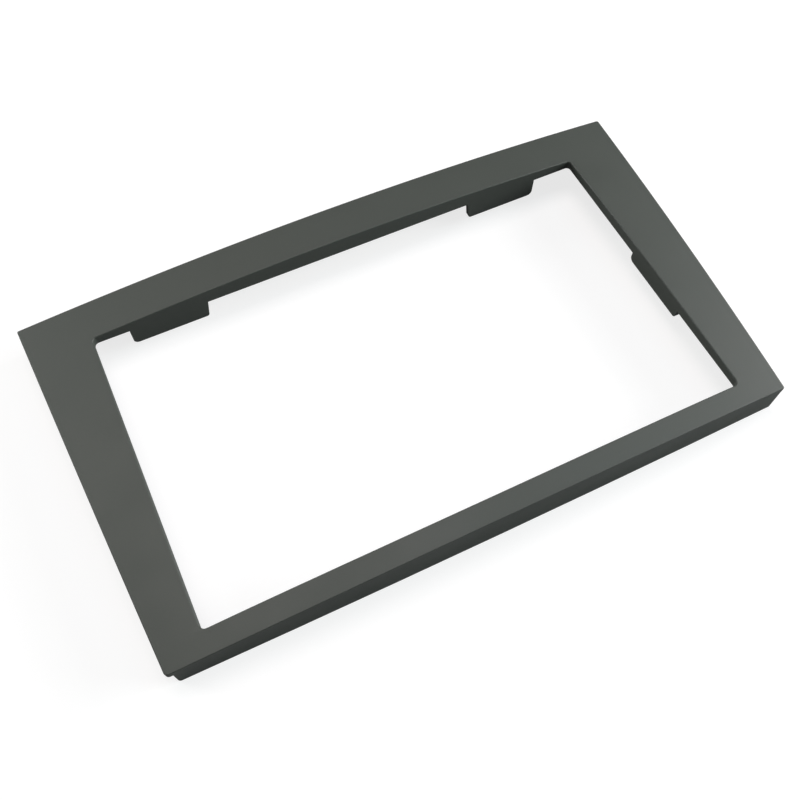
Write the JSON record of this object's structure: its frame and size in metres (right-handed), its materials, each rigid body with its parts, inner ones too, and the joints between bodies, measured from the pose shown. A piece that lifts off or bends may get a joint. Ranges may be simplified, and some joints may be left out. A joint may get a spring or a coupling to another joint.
{
  "type": "car radio mounting frame",
  "caption": "Crowned one-piece plastic trim frame with a rectangular opening for a double-height car radio, a rear skirt, a collar and rearward tabs.",
  "frame": {"origin": "centre of the radio opening, on the plane of the skirt's rear rim", "axes": "+Z is the way the bezel faces, +X is to the right and +Y is up for someone who looks at the bezel"},
  "size_m": [0.2205, 0.1257, 0.0165],
  "materials": {
    "moulded_plastic": "satin dark grey, fine moulded grain"
  },
  "bodies": {
    "root": {"mounting_frame": "moulded_plastic"}
  },
  "joints": []
}
